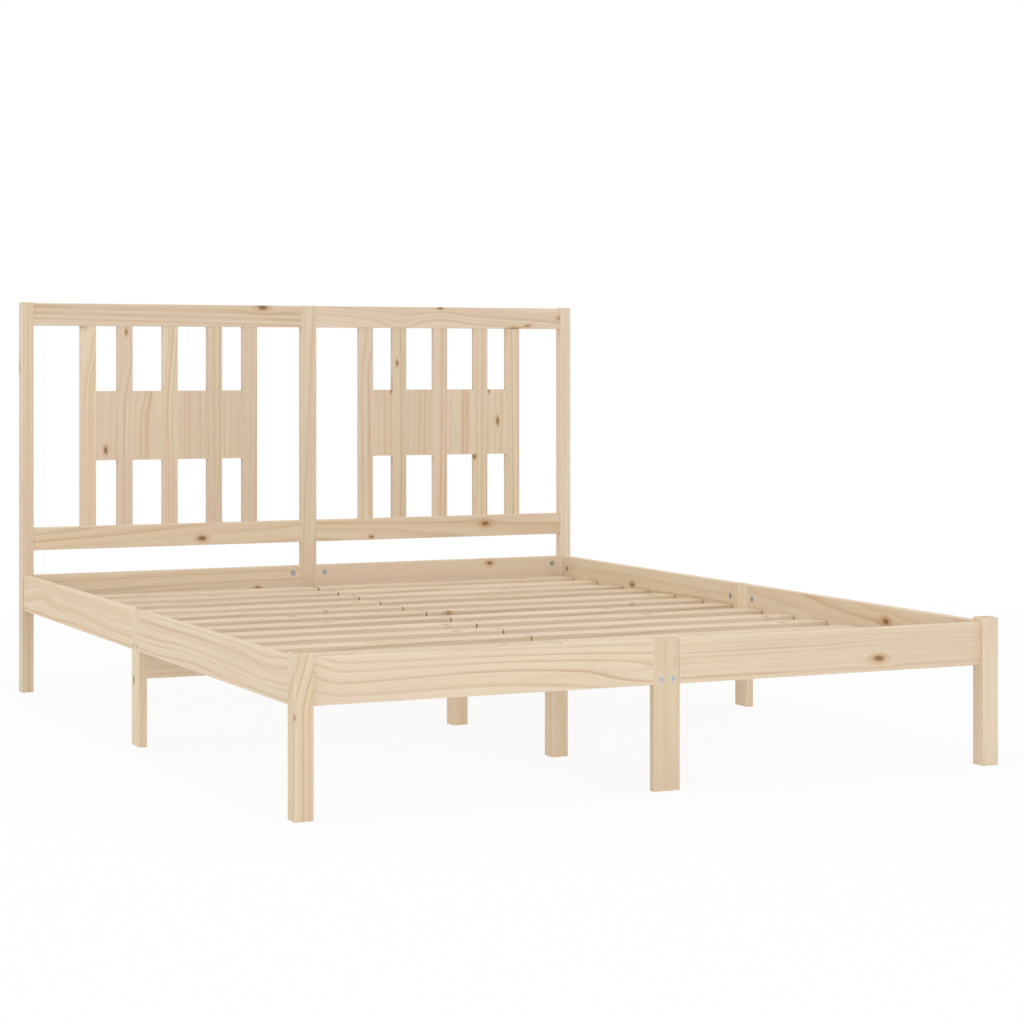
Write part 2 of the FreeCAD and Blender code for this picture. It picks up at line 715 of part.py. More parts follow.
FASTENERS = (
    ("dowels", dowel(), dowel_hole(), dowel_places()),
    (
        "side_leg_bolts",
        bolt("side_bolt", "side_bolt_length"),
        bolt_hole("side_bolt_hole", "side_bolt_length"),
        side_bolt_places(),
    ),
    (
        "end_leg_bolts",
        bolt("end_bolt", "end_bolt_length"),
        bolt_hole("end_bolt_hole", "end_bolt_length"),
        end_bolt_places(),
    ),
    ("barrel_nuts", barrel_nut(), barrel_nut_hole(), barrel_nut_places()),
    ("cam_locks", cam_lock(), cam_hole(), cam_places()),
    ("cam_bolts", cam_bolt(), cam_bolt_hole(), cam_bolt_places()),
    (
        "ledger_screws",
        screw("ledger_screw", "ledger_screw_length"),
        screw_outline("ledger_screw_hole", "ledger_screw_length", "fastener_clearance"),
        ledger_screw_places(),
    ),
    (
        "slat_screws",
        screw("slat_screw", "slat_screw_length"),
        screw_outline("slat_screw_hole", "slat_screw_length", "fastener_clearance"),
        slat_screw_places(),
    ),
    (
        "support_screws",
        screw("support_screw", "support_screw_length"),
        screw_outline("support_screw_hole", "support_screw_length", "fastener_clearance"),
        support_screw_places(),
    ),
)
doc.recompute()

nodes = {}
holes = []
for name, master, hole, places in FASTENERS:
    nodes[name] = group(name, copies(master, places))
    holes += copies(hole, places)
for name, body in boards.items():
    nodes[name] = drilled(name, body, holes)
for side, sign in SIDES:
    nodes[f"bed_slats_{side}"] = bed_slats(side, sign, holes)
doc.recompute()


# Checks before anything is written
for thing in doc.Objects:
    bad = [word for word in ("Invalid", "Error") if word in thing.State]
    if bad:
        raise RuntimeError(f"{thing.Name}: {bad}")
for name, node in nodes.items():
    if node.Shape.isNull() or not node.Shape.isValid():
        raise RuntimeError(f"{name} has no valid shape")

os.makedirs("parts", exist_ok=True)
for name, node in nodes.items():
    node.Shape.exportStep(f"parts/{name}.step")
print(f"{len(nodes)} nodes, {sum(len(node.Shape.Solids) for node in nodes.values())} solids")
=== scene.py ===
import math

import bpy
import numpy as np
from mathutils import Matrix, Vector


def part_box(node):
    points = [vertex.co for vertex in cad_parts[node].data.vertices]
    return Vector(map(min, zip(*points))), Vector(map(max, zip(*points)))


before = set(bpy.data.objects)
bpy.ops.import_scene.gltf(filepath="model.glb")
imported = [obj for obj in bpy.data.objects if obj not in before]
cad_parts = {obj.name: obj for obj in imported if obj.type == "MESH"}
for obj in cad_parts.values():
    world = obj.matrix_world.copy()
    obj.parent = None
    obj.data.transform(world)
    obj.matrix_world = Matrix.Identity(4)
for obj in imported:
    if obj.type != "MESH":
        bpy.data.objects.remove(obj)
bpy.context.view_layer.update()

X, Y, Z = 0, 1, 2

# Colours of raw pine and of the fittings, as the bare surface shows them in white light
PALE_WOOD = (0.768, 0.646, 0.478)
RING_LINE = (0.545, 0.345, 0.180)
HONEY_STREAK = (0.705, 0.520, 0.320)
PINK_STREAK = (0.745, 0.575, 0.435)
END_GRAIN = (0.560, 0.410, 0.250)
KNOT_HEART = (0.120, 0.058, 0.028)
KNOT_WOOD = (0.330, 0.165, 0.070)
KNOT_STAIN = (0.560, 0.340, 0.165)
# Paler edge colour: partly sanded fresh wood, partly a painted highlight where rounded edges catch the
# light
SANDED_EDGE_AND_HIGHLIGHT = (0.830, 0.715, 0.555)
RUBBED_EDGE = (0.560, 0.410, 0.265)
BEECH = (0.640, 0.435, 0.275)
BEECH_FLECK = (0.36, 0.20, 0.11)
PINK_BEECH = (0.70, 0.50, 0.34)
BRIGHT_ZINC = (0.590, 0.590, 0.595)
CAST_ZINC = (0.450, 0.460, 0.475)
WHITE = (1.0, 1.0, 1.0, 1.0)
FLOOR_GREY = (0.94, 0.94, 0.94, 1.0)


class Finish:
    """The nodes of a material or of the world, with short ways to add them and to join them."""

    def __init__(self, owner):
        owner.use_nodes = True
        self.owner = owner
        self.tree = owner.node_tree
        self.tree.nodes.clear()

    def put(self, kind, feeds, **settings):
        """Add a node, and give each named or numbered input a socket or a fixed value."""
        node = self.tree.nodes.new(kind)
        for setting, value in settings.items():
            setattr(node, setting, value)
        for place, value in feeds.items():
            if isinstance(value, bpy.types.NodeSocket):
                self.tree.links.new(value, node.inputs[place])
            else:
                node.inputs[place].default_value = value
        return node

    def number(self, operation, *values):
        """One step of arithmetic on numbers."""
        return self.put("ShaderNodeMath", dict(enumerate(values)), operation=operation).outputs[0]

    def vector(self, operation, *values):
        """One step of arithmetic on vectors."""
        feeds = dict(enumerate(values))
        if operation == "SCALE":
            feeds = {0: values[0], "Scale": values[1]}
        node = self.put("ShaderNodeVectorMath", feeds, operation=operation)
        return node.outputs["Value" if operation in ("LENGTH", "DOT_PRODUCT") else "Vector"]

    def ease(self, value, start, end, at_start=0.0, at_end=1.0):
        """A smooth ramp from at_start to at_end while the value goes from start to end."""
        feeds = {0: value, 1: start, 2: end, 3: at_start, 4: at_end}
        return self.put("ShaderNodeMapRange", feeds, interpolation_type="SMOOTHSTEP").outputs[0]

    def cloud(self, where, stretch, shift, detail=2.0, colours=False):
        """Soft noise with the given number of waves to the metre along each of the three ways."""
        spot = self.vector("MULTIPLY_ADD", where, stretch, shift)
        feeds = {"Vector": spot, "Scale": 1.0, "Detail": detail, "Roughness": 0.55}
        node = self.put("ShaderNodeTexNoise", feeds, noise_dimensions="3D")
        return node.outputs["Color" if colours else "Fac"]

    def ramp(self, value, stops):
        """A grey that goes straight from stop to stop, each stop being (place, grey)."""
        node = self.put("ShaderNodeValToRGB", {0: value})
        steps = node.color_ramp.elements
        while len(steps) < len(stops):
            steps.new(0.5)
        for step, (spot, grey) in zip(steps, stops):
            step.position = spot
            step.color = (grey, grey, grey, 1.0)
        return node.outputs[0]

    def tint(self, share, under, over):
        """The colour over laid on the colour under, by its share."""
        feeds = {0: share, 6: self.colour(under), 7: self.colour(over)}
        return self.put("ShaderNodeMix", feeds, data_type="RGBA").outputs[2]

    def colour(self, value):
        """Three numbers as a colour with full cover; a socket stays as it is."""
        return value if isinstance(value, bpy.types.NodeSocket) else (*value, 1.0)

    def surface(self, colour, roughness, height, depth, **fixed):
        """The shader: fixed numbers sit on its own inputs, and height in depth metres bumps it."""
        feeds = {"Height": height, "Strength": 1.0, "Distance": depth}
        bump = self.put("ShaderNodeBump", feeds)
        feeds = {"Base Color": colour, "Roughness": roughness, "Normal": bump.outputs[0]}
        feeds.update({name.replace("_", " "): value for name, value in fixed.items()})
        shader = self.put("ShaderNodeBsdfPrincipled", feeds)
        self.put("ShaderNodeOutputMaterial", {"Surface": shader.outputs[0]})
        return self.owner

    def looked_at(self):
        """1 where something is seen, straight or by way of metal or glass, and 0 for other light."""
        path = self.put("ShaderNodeLightPath", {})
        seen = self.number("MAXIMUM", path.outputs["Is Camera Ray"], path.outputs["Is Glossy Ray"])
        return self.number("MAXIMUM", seen, path.outputs["Is Transmission Ray"])


def dress(node, material):
    """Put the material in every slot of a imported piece."""
    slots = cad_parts[node].data.materials
    slots.clear()
    slots.append(material)


# Shades inside one growth ring, from the log's heart outwards: it darkens slowly to the line
RING_SHADES = (
    (0.0, 0.28), (0.09, 0.05), (0.42, 0.10), (0.68, 0.33), (0.88, 0.85), (0.94, 1.0), (1.0, 0.45),
)
# Shades across a bold ring line of breadth 1: metres outwards from its middle, and the shade
BOLD_SHADES = ((-0.0090, 0.04), (-0.0042, 0.26), (-0.0013, 0.85), (0.0003, 0.80), (0.0019, 0.0))
# The ramp of the bold lines goes on this far past the first and the last, and its stops keep
# this far apart as shares of its length
BOLD_MARGIN = 0.03
NEXT_STOP = 0.001
# The kinds of noise in a board. Each is shifted at random, by at most so many waves
WAVES, FADE, FIBRES, STREAKS, DASHES, DRIFT = range(6)
NOISE_KINDS = 6
NOISE_SPREAD = 40.0
FIRST_SEED = 1000
# Rings are drawn aside by this share at a knot, fading out over a patch round it. Each half
# size of the patch is so many times the knot's own, plus metres
KNOT_PULL = 0.78
PATCH_LENGTH = (5.0, 0.010)
PATCH_WIDTH = (4.0, 0.004)
# Wear, and the painted highlight, at a board's edges start this far in from them and are full here, in
# metres
EDGE_WEAR_AND_HIGHLIGHT_STARTS = -0.0035
EDGE_WEAR_AND_HIGHLIGHT_FULL = -0.0004
# How far the fibres, ring lines and dents stand out, in metres
PINE_RELIEF = 0.00022
BEECH_RELIEF = -0.0001
ZINC_RELIEF = 0.00004


def bold_lines(f, radius, bands, middle, half_thickness, heart):
    """Bolder ring lines, each where its radius cuts the face towards the foot or the left."""
    depth = -half_thickness - heart[1]
    near = sorted((math.hypot(band[0] - middle - heart[0], depth), *band[1:]) for band in bands)
    first = near[0][0] - BOLD_MARGIN
    reach = near[-1][0] - near[0][0] + 2 * BOLD_MARGIN
    stops = [(0.0, 0.0)]
    for line, dark, *broad in near:
        breadth = broad[0] if broad else 1.0
        for off, grey in BOLD_SHADES:
            spot = (line + off * breadth - first) / reach
            stops.append((max(spot, stops[-1][0] + NEXT_STOP), grey * dark))
    return f.ramp(f.number("MULTIPLY_ADD", radius, 1 / reach, -first / reach), stops)


def pine(node, grain, face, heart, ring, lean=(0.0, 0.0), wander=0.004, bands=(), swells=(),
         knots=(), tone=1.0, warm=0.0, pink=0.4, honey=0.4, lines=0.5, seed=0, row=None):
    """Pine for one board, cut out of a log.

    grain and face are the axes along the board and through it. The heart of the log lies at
    heart (across, through) from the board's middle, and leans by lean metres to the metre.
    The distance from the heart, made wavy by wander and lifted by each swell and knot, and
    divided by the ring width, counts the rings. Each ring darkens slowly to its line and then
    is pale at once. A band is a bolder ring line (across, darkness, breadth), where it meets
    the face towards the foot or the left. A swell is (along, across, lift, half length, half
    width) and a knot is (along, across, half length, half width, darkness). All are given by
    their place in the bed, and the rings bow round the knots. tone is the board's lightness,
    warm takes blue away and adds a little red, and pink, honey and lines say how much the board
    shows of each. A row of equal boards is (its axis, the first one's middle, the step, half a
    board), and each of its boards has the knots in places of its own.
    """
    across = 3 - grain - face
    low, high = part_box(node)
    middle = [(a + b) / 2 for a, b in zip(low, high)]
    half = [(b - a) / 2 for a, b in zip(low, high)]
    f = Finish(bpy.data.materials.new("pine_" + node))
    chooser = np.random.default_rng(FIRST_SEED + seed)
    shifts = chooser.uniform(-NOISE_SPREAD, NOISE_SPREAD, (NOISE_KINDS, 3)).tolist()
    texture = f.put("ShaderNodeTexCoord", {})
    place = texture.outputs["Object"]

    # Rows of equal boards in one node: every board finds its own number and its own middle
    chance = None
    if row is not None:
        row_axis, first, gap, half[row_axis] = row
        middle[row_axis] = first
        split = f.put("ShaderNodeSeparateXYZ", {0: place})
        past_first = f.number("SUBTRACT", split.outputs[row_axis], first)
        which = f.number("ROUND", f.number("DIVIDE", past_first, gap))
        feeds = {"W": f.number("ADD", which, float(seed))}
        own = f.put("ShaderNodeTexWhiteNoise", feeds, noise_dimensions="1D")
        chance = own.outputs["Color"]
        back = f.put("ShaderNodeCombineXYZ", {row_axis: f.number("MULTIPLY", which, -gap)})
        place = f.vector("ADD", place, back.outputs[0])
    local = f.vector("SUBTRACT", place, tuple(middle))
    split = f.put("ShaderNodeSeparateXYZ", {0: local})
    along = split.outputs[grain]
    feeds = {0: along, 1: split.outputs[across], 2: split.outputs[face]}
    board = f.put("ShaderNodeCombineXYZ", feeds).outputs[0]
    # In a row, each board is cut from a part of its own of the noise, and strews its own knots
    grained = strewn = board
    if chance is not None:
        grained = f.vector("MULTIPLY_ADD", chance, (9.0, 9.0, 9.0), board)
        stray = f.vector("MULTIPLY_ADD", chance, (-1.3, -0.06, 0.0), (0.65, 0.03, 0.0))
        strewn = f.vector("ADD", board, stray)

    def strands(where, lengthwise, crosswise, kind, detail=2.0, colours=False):
        """Noise with so many waves to the metre along the grain, and so many across it."""
        return f.cloud(where, (lengthwise, crosswise, crosswise), shifts[kind], detail, colours)

    # Growth rings round the heart of the log
    waves = strands(grained, 2.6, 11.0, WAVES, 1.5, colours=True)
    waves = f.vector("MULTIPLY_ADD", waves, (0.0, 2 * wander, 2 * wander), (0.0, -wander, -wander))
    axis = f.put("ShaderNodeCombineXYZ", {0: along, 1: along, 2: along}).outputs[0]
    axis = f.vector("MULTIPLY_ADD", axis, (0.0, -lean[0], -lean[1]), (0.0, -heart[0], -heart[1]))
    if chance is not None:
        stray = f.vector("MULTIPLY_ADD", chance, (0.0, 0.05, 0.02), (0.0, -0.025, -0.01))
        axis = f.vector("ADD", axis, stray)
    flat = f.vector("MULTIPLY", board, (0.0, 1.0, 1.0))

    def nearness(spot, half_length, half_width, half_depth=None, rough=None):
        """How many half sizes a point is from the spot, which lies on the front face."""
        size = (1 / half_length, 1 / half_width, 1 / half_depth if half_depth else 0.0)
        spot = (spot[0] - middle[grain], spot[1] - middle[across], -half[face])
        centre = tuple(-at * by for at, by in zip(spot, size))
        away = f.vector("MULTIPLY_ADD", strewn, size, centre)
        return f.vector("LENGTH", away if rough is None else f.vector("ADD", away, rough))

    for along_at, across_at, half_length, half_width, _ in knots:
        patch_length = PATCH_LENGTH[0] * half_length + PATCH_LENGTH[1]
        patch_width = PATCH_WIDTH[0] * half_width + PATCH_WIDTH[1]
        wide = nearness((along_at, across_at), patch_length, patch_width)
        pull = f.ease(wide, 0.1, 1.0, KNOT_PULL, 0.0)
        centre = (0.0, across_at - middle[across], 0.0)
        aside = f.vector("MULTIPLY_ADD", strewn, (0.0, -1.0, 0.0), centre)
        flat = f.vector("ADD", flat, f.vector("SCALE", aside, pull))
    radius = f.vector("LENGTH", f.vector("ADD", f.vector("ADD", flat, axis), waves))
    for along_at, across_at, lift, half_length, half_width in swells:
        near = nearness((along_at, across_at), half_length, half_width)
        radius = f.number("ADD", radius, f.ease(near, 0.0, 1.0, lift, 0.0))
    count = f.number("MULTIPLY_ADD", radius, 1 / ring, 3.0)
    feeds = {"W": count, "Scale": 0.45, "Detail": 1.0}
    uneven = f.put("ShaderNodeTexNoise", feeds, noise_dimensions="1D").outputs[0]
    count = f.number("MULTIPLY_ADD", uneven, 1.5, count)
    late = f.ramp(f.number("FRACT", count), RING_SHADES)
    feeds = {"W": f.number("FLOOR", count)}
    strong = f.put("ShaderNodeTexWhiteNoise", feeds, noise_dimensions="1D").outputs[0]
    late = f.number("MULTIPLY", late, f.ease(strong, 0.0, 1.0, 0.10 * lines, 1.15 * lines))
    if bands:
        bold = bold_lines(f, radius, bands, middle[across], half[face], heart)
        late = f.number("MAXIMUM", late, bold)
    fade = strands(grained, 3.1, 24.0, FADE)
    late = f.number("MULTIPLY", late, f.ease(fade, 0.30, 0.62, 0.60, 1.0))

    # Fibres, fine streaks, resin dashes and the slow drift of the colour
    fibre = strands(grained, 9.0, 520.0, FIBRES, 4.0)
    streak = strands(grained, 1.4, 75.0, STREAKS, 3.0)
    dash = strands(grained, 55.0, 1500.0, DASHES, 1.0)
    drift = strands(grained, 2.3, 6.0, DRIFT)
    colour = f.tint(f.ease(uneven, 0.46, 0.72, 0.0, honey), PALE_WOOD, HONEY_STREAK)
    colour = f.tint(late, colour, RING_LINE)
    colour = f.tint(f.ease(streak, 0.50, 0.74, 0.0, 0.34), colour, HONEY_STREAK)
    colour = f.tint(f.ease(drift, 0.38, 0.66, 0.0, pink), colour, PINK_STREAK)
    shade = f.number("MULTIPLY_ADD", fibre, 0.16, 0.92)
    shade = f.number("MULTIPLY", shade, f.number("MULTIPLY_ADD", drift, -0.07, tone + 0.035))
    shade = f.number("MULTIPLY", shade, f.ease(dash, 0.66, 0.78, 1.0, 0.86))
    if chance is not None:
        shade = f.number("MULTIPLY", shade, f.ease(own.outputs[0], 0.0, 1.0, 0.95, 1.04))

    # End grain is darker and rougher, edges are paler (sanded wood and a painted highlight) and
    # smoother, and some are rubbed brown
    lengthways = tuple(float(axis == grain) for axis in (X, Y, Z))
    facing = f.vector("DOT_PRODUCT", texture.outputs["Normal"], lengthways)
    end = f.ease(f.number("ABSOLUTE", facing), 0.55, 0.9)
    colour = f.tint(f.number("MULTIPLY", end, 0.62), colour, END_GRAIN)
    outer = f.vector("ABSOLUTE", local)
    inside = f.put("ShaderNodeSeparateXYZ", {0: f.vector("SUBTRACT", outer, tuple(half))})
    a, b, c = inside.outputs
    nearer = f.number("MINIMUM", f.number("MAXIMUM", a, b), c)
    second = f.number("MAXIMUM", f.number("MINIMUM", a, b), nearer)
    edge = f.ease(second, EDGE_WEAR_AND_HIGHLIGHT_STARTS, EDGE_WEAR_AND_HIGHLIGHT_FULL)
    # Painted highlight, partly sanded wood: the edges are paler, as where rounded edges catch the light
    colour = f.tint(f.number("MULTIPLY", edge, 0.45), colour, SANDED_EDGE_AND_HIGHLIGHT)
    rubbed = f.ease(strands(board, 16.0, 40.0, FADE), 0.56, 0.72)
    rubbed = f.number("MULTIPLY", f.number("MULTIPLY", edge, rubbed), 0.45)
    colour = f.tint(rubbed, colour, RUBBED_EDGE)

    # Knots: a nearly black heart, brown wood with rings of its own, and stained wood round it
    hollow = None
    if knots:
        ragged = strands(board, 130.0, 260.0, DASHES, colours=True)
        ragged = f.vector("MULTIPLY_ADD", ragged, (1.1, 1.1, 0.0), (-0.55, -0.55, 0.0))
    for along_at, across_at, half_length, half_width, darkness in knots:
        depth = 4.0 * half_width if row is None else None
        near = nearness((along_at, across_at), half_length, half_width, depth, ragged)
        stain = f.ease(near, 0.7, 3.0, 0.85 * darkness, 0.0)
        colour = f.tint(stain, colour, KNOT_STAIN)
        circles = f.number("SINE", f.number("MULTIPLY", near, 13.0))
        circles = f.number("MULTIPLY_ADD", circles, 0.16, 0.22)
        wood = f.tint(circles, KNOT_WOOD, KNOT_HEART)
        wood = f.tint(f.ease(near, 0.10, 0.60, 0.85, 0.0), wood, KNOT_HEART)
        colour = f.tint(f.ease(near, 0.60, 1.25, darkness, 0.0), colour, wood)
        rim = f.ease(f.number("ABSOLUTE", f.number("SUBTRACT", near, 0.9)), 0.0, 0.35, darkness, 0.0)
        hollow = rim if hollow is None else f.number("MAXIMUM", hollow, rim)
    colour = f.vector("MULTIPLY", colour, (1.0 + 0.3 * warm, 1.0, 1.0 - warm))
    colour = f.vector("SCALE", colour, shade)

    # Small dents from use, raised ring lines and open fibres
    dents = f.ease(strands(board, 34.0, 60.0, FADE, 1.0), 0.72, 0.80)
    height = f.number("MULTIPLY_ADD", fibre, 0.35, f.number("MULTIPLY", late, 0.30))
    height = f.number("MULTIPLY_ADD", dents, -0.5, height)
    if hollow is not None:
        height = f.number("MULTIPLY_ADD", hollow, -0.6, height)
    rough = f.number("MULTIPLY_ADD", fibre, 0.14, 0.50)
    rough = f.number("MULTIPLY_ADD", late, -0.07, rough)
    rough = f.number("MULTIPLY_ADD", edge, -0.08, rough)
    rough = f.number("MULTIPLY_ADD", end, 0.15, rough)
    dress(node, f.surface(colour, rough, height, PINE_RELIEF, Metallic=0.0, IOR=1.45,
                          Specular_IOR_Level=0.35))


def beech(node):
    """Turned beech: pinkish brown, with short dark flecks and a slow change of tone."""
    f = Finish(bpy.data.materials.new("beech_" + node))
    place = f.put("ShaderNodeTexCoord", {}).outputs["Object"]
    fleck = f.ease(f.cloud(place, (900.0, 900.0, 900.0), (3.0, 1.0, 7.0), 2.0), 0.58, 0.70)
    tone = f.cloud(place, (40.0, 40.0, 40.0), (5.0, 2.0, 9.0), 2.0)
    colour = f.tint(f.number("MULTIPLY", fleck, 0.45), BEECH, BEECH_FLECK)
    colour = f.tint(f.ease(tone, 0.35, 0.65, 0.0, 0.4), colour, PINK_BEECH)
    rough = f.number("MULTIPLY_ADD", tone, 0.2, 0.45)
    dress(node, f.surface(colour, rough, fleck, BEECH_RELIEF, Metallic=0.0, IOR=1.45))


def plated(node, colour, roughness, grit):
    """Zinc on metal: a clouded sheen, fine marks from the driver and dull specks.

    grit is how many waves to the metre the fine marks have.
    """
    f = Finish(bpy.data.materials.new("zinc_" + node))
    place = f.put("ShaderNodeTexCoord", {}).outputs["Object"]
    cloudy = f.cloud(place, (160.0, 160.0, 160.0), (1.0, 4.0, 2.0), 3.0)
    grain = f.cloud(place, (grit, grit, grit), (6.0, 3.0, 8.0), 2.0)
    specks = f.ease(grain, 0.62, 0.72)
    darker, dull = (tuple(share * part for part in colour) for share in (0.85, 0.62))
    shown = f.tint(f.ease(cloudy, 0.35, 0.68, 0.0, 0.5), colour, darker)
    shown = f.tint(f.number("MULTIPLY", specks, 0.5), shown, dull)
    rough = f.number("MULTIPLY_ADD", cloudy, 0.22, roughness)
    rough = f.number("MULTIPLY_ADD", specks, 0.15, rough)
    dress(node, f.surface(shown, rough, grain, ZINC_RELIEF, Metallic=1.0))


# Boards that the photograph shows closely: rings, bands, swells and knots where it has them
pine("foot_rail_left", X, Y, (0.31, 0.0), 0.0075, lean=(-0.0228, 0.0), wander=0.0015, seed=1,
     honey=0.25, lines=0.16,
     bands=((0.2970, 0.5), (0.2796, 0.85, 0.8), (0.2623, 0.75, 0.8), (0.2400, 0.95, 0.9),
            (0.2181, 0.6)),
     swells=((-0.789, 0.277, 0.0265, 0.115, 0.122), (-0.007, 0.227, -0.0179, 0.223, 0.040),
             (-0.341, 0.249, 0.0152, 0.400, 0.0527)))
pine("foot_rail_right", X, Y, (0.33, 0.0), 0.0068, wander=0.0015, seed=2, pink=0.5, honey=0.3,
     lines=0.36,
     bands=((0.2850, 0.45, 0.8), (0.2755, 0.35, 0.6), (0.2690, 0.75, 0.9), (0.2595, 0.50, 0.7),
            (0.2480, 0.35, 0.7), (0.2195, 0.95, 0.8)), swells=((0.53, 0.265, 0.006, 0.20, 0.03),),
     knots=((0.4940, 0.2368, 0.0125, 0.0056, 0.85),))
pine("foot_centre_leg", Z, Y, (0.05, -0.09), 0.0070, lean=(0.01, 0.01), wander=0.0020, seed=3,
     tone=0.925, warm=0.035, pink=0.8, honey=0.25, lines=0.35,
     knots=((0.2535, 0.0185, 0.0065, 0.0020, 0.15),))
pine("foot_post_left", Z, Y, (-0.28, 0.10), 0.0100, wander=0.0015, seed=4, tone=0.965, warm=0.02,
     lines=0.25, bands=((-0.7985, 0.6), (-0.7830, 0.8), (-0.7645, 0.9), (-0.7520, 0.6)),
     swells=((0.33, -0.76, -0.027, 0.135, 1.0),), knots=((0.1925, -0.7815, 0.0045, 0.0016, 0.55),))
pine("foot_post_right", Z, Y, (0.020, 0.060), 0.0090, lean=(0.02, -0.03), seed=5, tone=1.01, pink=0.6)
pine("head_post_left", Z, X, (-0.060, 0.040), 0.0085, lean=(0.010, 0.01), wander=0.0035, seed=6,
     tone=0.95, pink=0.9, knots=((0.8335, 1.0255, 0.0130, 0.0045, 0.8),))
pine("head_post_right", Z, Y, (0.060, 0.030), 0.0080, lean=(0.008, 0.01), wander=0.0035, seed=7,
     tone=1.04, warm=-0.04)
pine("side_rail_left_foot", Y, X, (0.29, 0.0), 0.0085, wander=0.0025, seed=8, honey=0.5, lines=0.30,
     bands=((0.2955, 0.5), (0.2780, 0.7), (0.2665, 0.5, 0.8), (0.2480, 0.7), (0.2345, 0.55, 0.8),
            (0.2165, 0.8)),
     swells=((-0.85, 0.270, -0.010, 0.17, 0.06), (-0.40, 0.240, 0.008, 0.30, 0.06)))
pine("side_rail_left_head", Y, X, (0.27, 0.0), 0.0090, wander=0.0025, seed=9, warm=0.03, honey=0.5,
     lines=0.22, bands=((0.2890, 0.4), (0.2620, 0.4), (0.2360, 0.5), (0.2160, 0.95, 0.8)),
     swells=((0.50, 0.250, 0.012, 0.30, 0.05), (0.81, 0.275, 0.026, 0.23, 0.065)))
pine("side_rail_right_foot", Y, X, (0.05, 0.06), 0.0110, lean=(0.02, 0.03), wander=0.0050, seed=10,
     lines=0.8, knots=((-0.640, 0.266, 0.0130, 0.0070, 0.85), (-0.230, 0.226, 0.0070, 0.0045, 0.80)))
pine("side_rail_right_head", Y, X, (-0.04, 0.07), 0.0120, lean=(0.03, 0.02), wander=0.0050, seed=11,
     lines=0.8, knots=((0.580, 0.252, 0.0110, 0.0065, 0.85),))
pine("side_leg_left", Z, X, (0.04, 0.06), 0.0080, lean=(0.02, 0.02), wander=0.0025, seed=12, tone=0.98,
     warm=0.03, lines=0.35, knots=((0.144, 0.0161, 0.0065, 0.0050, 0.75),))
pine("side_leg_right", Z, X, (-0.05, 0.07), 0.0090, lean=(0.02, 0.02), wander=0.0025, seed=13,
     tone=1.06, pink=0.8, lines=0.40)
pine("head_top_rail_left", X, Y, (0.30, 0.0), 0.0080, lean=(-0.02, 0.0), wander=0.0025, seed=14,
     tone=0.955, warm=-0.02, pink=0.8, honey=0.5, lines=0.20,
     bands=((0.9805, 0.80, 2.6), (0.9640, 0.70, 1.8), (0.9505, 0.70, 0.8)),
     knots=((-0.1320, 0.9925, 0.0130, 0.0058, 0.85),))
pine("head_top_rail_right", X, Y, (0.30, 0.0), 0.0090, wander=0.0030, seed=15, tone=1.02, warm=-0.04,
     pink=0.5, honey=0.6, lines=0.20,
     bands=((0.9705, 0.85, 2.0), (0.9590, 0.60, 0.7), (0.9480, 0.95, 0.8)),
     swells=((0.02, 0.975, 0.026, 0.33, 0.20), (0.385, 0.975, 0.012, 0.13, 0.20),
             (0.255, 0.945, -0.014, 0.10, 0.030), (0.720, 0.975, -0.010, 0.22, 0.20)),
     knots=((0.3847, 0.9955, 0.0075, 0.0035, 0.85), (0.6060, 0.9410, 0.0150, 0.0022, 0.95),
            (0.6500, 0.9480, 0.0100, 0.0035, 0.60), (0.7490, 0.9700, 0.0090, 0.0060, 0.45)))
pine("head_lower_rail_left", X, Y, (0.05, 0.06), 0.0110, lean=(0.02, 0.03), wander=0.0050, seed=16,
     lines=0.9, knots=((-0.300, 0.381, 0.0110, 0.0060, 0.85),))
pine("head_lower_rail_right", X, Y, (-0.03, 0.06), 0.0120, lean=(0.02, 0.03), wander=0.0050, seed=17,
     lines=0.9, knots=((0.520, 0.398, 0.0120, 0.0065, 0.85), (0.180, 0.371, 0.0060, 0.0040, 0.75)))
pine("head_centre_stile", Z, Y, (0.04, 0.07), 0.0080, lean=(0.01, 0.02), wander=0.0030, seed=18,
     tone=0.98, warm=-0.02, lines=0.45)

